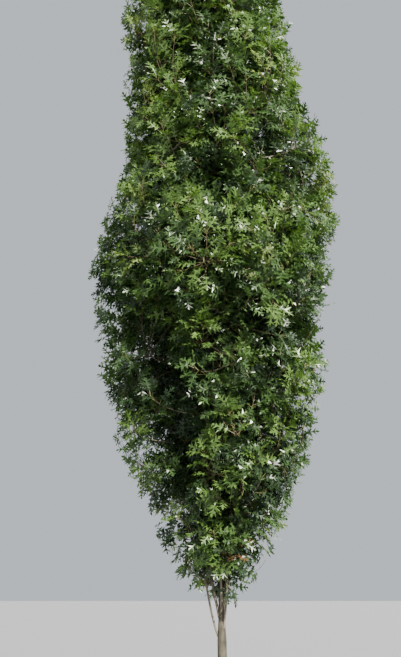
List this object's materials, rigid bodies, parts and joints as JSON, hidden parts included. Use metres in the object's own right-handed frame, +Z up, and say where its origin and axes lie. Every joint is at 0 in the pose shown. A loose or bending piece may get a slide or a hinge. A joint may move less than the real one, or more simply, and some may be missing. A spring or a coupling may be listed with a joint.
{
  "type": "pin oak tree",
  "caption": "Young columnar pin oak in full summer leaf: slim trunk with a flared foot, upright boughs and a dense, narrow, spiky crown.",
  "frame": {"origin": "the middle of the flat cut under the trunk, at ground level", "axes": "+Z up along the trunk, +X to the right and -Y towards the viewer of the reference view"},
  "size_m": [1.7463, 1.6608, 6.9377],
  "materials": {
    "bark": "matt grey-tan bark",
    "foliage": "glossy dark green leaves"
  },
  "bodies": {
    "root": {"bough_1_1": "bark", "bough_1_2": "bark", "bough_1_3": "bark", "bough_2_1": "bark", "bough_2_2": "bark", "bough_2_3": "bark", "bough_2_4": "bark", "bough_3_1": "bark", "bough_3_2": "bark", "bough_3_3": "bark", "bough_3_4": "bark", "bough_3_5": "bark", "bough_4_1": "bark", "bough_4_2": "bark", "bough_4_3": "bark", "bough_4_4": "bark", "bough_4_5": "bark", "bough_5_1": "bark", "bough_5_2": "bark", "bough_5_3": "bark", "bough_5_4": "bark", "bough_6_1": "bark", "bough_6_2": "bark", "bough_6_3": "bark", "foliage_1_1": "foliage", "foliage_1_2": "foliage", "foliage_1_3": "foliage", "foliage_2_1": "foliage", "foliage_2_2": "foliage", "foliage_2_3": "foliage", "foliage_2_4": "foliage", "foliage_3_1": "foliage", "foliage_3_2": "foliage", "foliage_3_3": "foliage", "foliage_3_4": "foliage", "foliage_3_5": "foliage", "foliage_4_1": "foliage", "foliage_4_2": "foliage", "foliage_4_3": "foliage", "foliage_4_4": "foliage", "foliage_4_5": "foliage", "foliage_5_1": "foliage", "foliage_5_2": "foliage", "foliage_5_3": "foliage", "foliage_5_4": "foliage", "foliage_6_1": "foliage", "foliage_6_2": "foliage", "foliage_6_3": "foliage", "foliage_top": "foliage", "trunk": "bark"}
  },
  "joints": []
}
